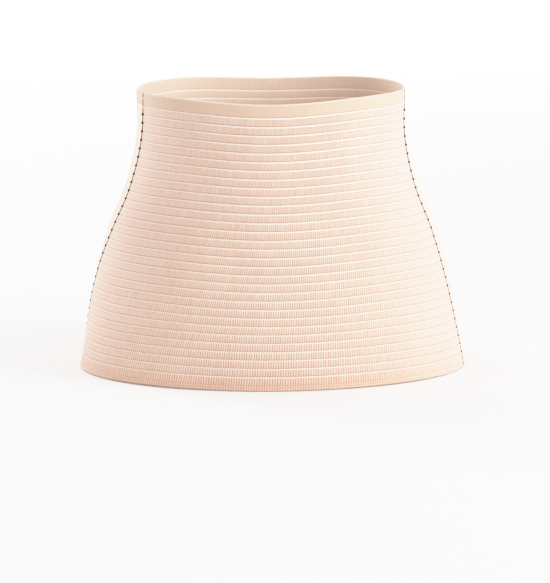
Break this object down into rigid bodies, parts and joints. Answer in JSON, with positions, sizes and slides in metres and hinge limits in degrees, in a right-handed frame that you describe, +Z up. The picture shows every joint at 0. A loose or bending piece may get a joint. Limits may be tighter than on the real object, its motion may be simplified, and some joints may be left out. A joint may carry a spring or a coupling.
{
  "type": "postpartum belt",
  "caption": "Wide ribbed elastic belt in its worn form, drawn in at the waist and spread over the hips, that supports the belly and back after childbirth.",
  "frame": {"origin": "on the axis of the hollow, halfway up the belt, where the wearer's torso holds it", "axes": "+Z up along the torso, -Y to the wearer's front, +X to the right as seen from the front"},
  "size_m": [0.3341, 0.2163, 0.243],
  "materials": {
    "ribbed_elastic": "matte ribbed elastic in warm beige with fine upright cords",
    "closure_tape": "matte woven hook-and-loop tape in peach beige",
    "seam_thread": "dark brown sewing thread"
  },
  "bodies": {
    "root": {"front_panel": "ribbed_elastic", "back_panel_left": "ribbed_elastic", "back_panel_right": "ribbed_elastic", "back_closure": "closure_tape"}
  },
  "joints": []
}
